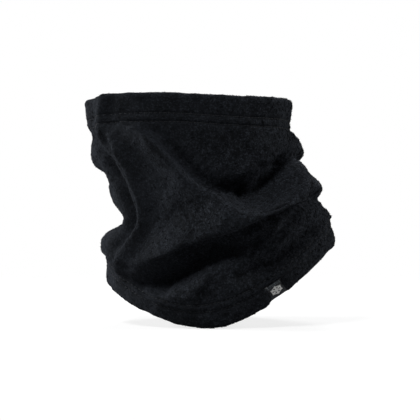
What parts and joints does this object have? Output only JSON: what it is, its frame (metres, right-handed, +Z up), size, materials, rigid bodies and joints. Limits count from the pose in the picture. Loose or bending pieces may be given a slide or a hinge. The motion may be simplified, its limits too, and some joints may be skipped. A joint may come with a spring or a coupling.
{
  "type": "neck gaiter",
  "caption": "Black fleece neck gaiter: a soft tube with stitched hems, shown slouched and folded as worn, with a small woven label on its lower edge.",
  "frame": {"origin": "on the surface the gaiter stands on, under the middle of its bounding box", "axes": "+Z up along the neck, -Y towards the wearer's front, +X to the right of someone who looks at the front"},
  "size_m": [0.183, 0.1486, 0.1658],
  "materials": {
    "black_fleece": "brushed polyester fleece, short matted pile",
    "black_thread": "spun polyester thread, slight sheen",
    "black_satin": "woven satin ribbon",
    "white_weave": "white figured weave",
    "grey_thread": "spun polyester thread",
    "white_satin": "printed-label satin, left blank"
  },
  "bodies": {
    "gaiter": {"fleece_panel": "black_fleece", "top_hem_needle_thread_upper": "black_thread", "top_hem_needle_thread_lower": "black_thread", "top_hem_looper_thread": "black_thread", "bottom_hem_needle_thread_upper": "black_thread", "bottom_hem_needle_thread_lower": "black_thread", "bottom_hem_looper_thread": "black_thread", "back_seam_overlock_thread": "black_thread", "woven_label": "black_satin", "label_emblem": "white_weave", "label_stitches": "grey_thread"},
    "care_tab": {"care_label": "white_satin"}
  },
  "joints": [
    {"name": "care_label_flip", "type": "hinge", "parent": "gaiter", "child": "care_tab", "pos_m": [-0.02316, 0.05786, 0.13035], "axis": [-1, 0, 0], "range_deg": [0, 150]}
  ]
}
